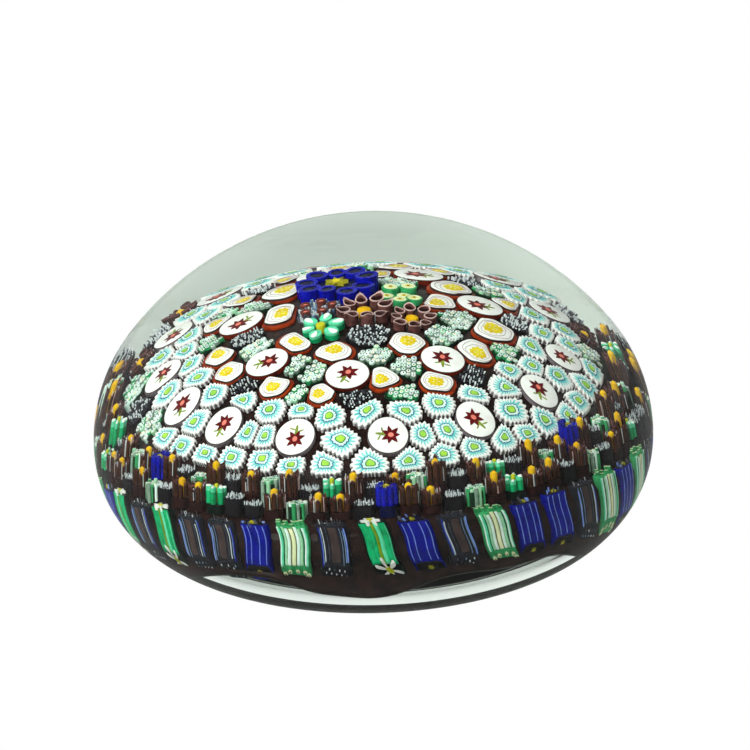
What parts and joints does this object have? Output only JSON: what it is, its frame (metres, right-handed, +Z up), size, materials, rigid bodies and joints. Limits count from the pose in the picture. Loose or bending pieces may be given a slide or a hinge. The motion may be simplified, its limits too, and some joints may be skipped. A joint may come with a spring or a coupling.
{
  "type": "paperweight",
  "caption": "Domed glass paperweight with rings of patterned glass canes set over a clear core and a flat polished base.",
  "frame": {"origin": "middle of the flat polished base", "axes": "+Z up along the axis of the dome; -Y faces the viewer's side"},
  "size_m": [0.08, 0.08, 0.0452],
  "materials": {
    "clear_glass": "fire-polished, clear, ground and polished flat on the base",
    "ground_glass": "dark amethyst, nearly opaque",
    "flower_glass": "opaque white with a dark red star and a green stem",
    "egg_glass": "opaque white and yellow, red-brown casing",
    "daisy_glass": "white cogs, turquoise rings, green centre",
    "cobalt_glass": "cobalt blue with pale blue threads",
    "emerald_glass": "emerald green with white petals",
    "mint_glass": "small pale green and white tubes",
    "amethyst_glass": "amethyst tubes with an orange-yellow centre",
    "stringer_glass": "dark glass with fine white and pale blue threads"
  },
  "bodies": {
    "root": {"centre_cane": "amethyst_glass", "clear_core": "clear_glass", "clear_dome": "clear_glass", "cluster_amethyst_cane": "amethyst_glass", "cluster_cobalt_cane": "cobalt_glass", "cluster_emerald_cane": "emerald_glass", "cluster_green_cane": "mint_glass", "cluster_stringer_cane": "stringer_glass", "cluster_tube_cane": "mint_glass", "edge_amethyst_canes": "amethyst_glass", "edge_daisy_canes": "daisy_glass", "edge_mint_canes": "mint_glass", "edge_stringer_canes": "stringer_glass", "far_egg_canes": "egg_glass", "far_tube_bundles": "mint_glass", "foot_cobalt_canes": "cobalt_glass", "foot_emerald_canes": "emerald_glass", "foot_glass_bed": "ground_glass", "foot_mint_canes": "mint_glass", "foot_stringer_canes": "stringer_glass", "ground_glass_bed": "ground_glass", "inner_daisy_canes": "daisy_glass", "inner_flower_cane_1": "flower_glass", "inner_flower_cane_2": "flower_glass", "inner_flower_cane_3": "flower_glass", "inner_flower_cane_4": "flower_glass", "inner_flower_cane_5": "flower_glass", "inner_flower_cane_6": "flower_glass", "inner_flower_cane_7": "flower_glass", "lower_skirt_amethyst_canes": "amethyst_glass", "lower_skirt_cobalt_canes": "cobalt_glass", "lower_skirt_emerald_canes": "emerald_glass", "lower_skirt_mint_canes": "mint_glass", "lower_skirt_stringer_canes": "stringer_glass", "middle_daisy_canes": "daisy_glass", "middle_egg_canes": "egg_glass", "near_egg_canes": "egg_glass", "near_tube_bundles": "mint_glass", "outer_flower_cane_1": "flower_glass", "outer_flower_cane_10": "flower_glass", "outer_flower_cane_11": "flower_glass", "outer_flower_cane_12": "flower_glass", "outer_flower_cane_13": "flower_glass", "outer_flower_cane_14": "flower_glass", "outer_flower_cane_2": "flower_glass", "outer_flower_cane_3": "flower_glass", "outer_flower_cane_4": "flower_glass", "outer_flower_cane_5": "flower_glass", "outer_flower_cane_6": "flower_glass", "outer_flower_cane_7": "flower_glass", "outer_flower_cane_8": "flower_glass", "outer_flower_cane_9": "flower_glass", "thread_bundles": "stringer_glass", "upper_skirt_amethyst_canes": "amethyst_glass", "upper_skirt_cobalt_canes": "cobalt_glass", "upper_skirt_emerald_canes": "emerald_glass", "upper_skirt_mint_canes": "mint_glass", "upper_skirt_stringer_canes": "stringer_glass"}
  },
  "joints": []
}
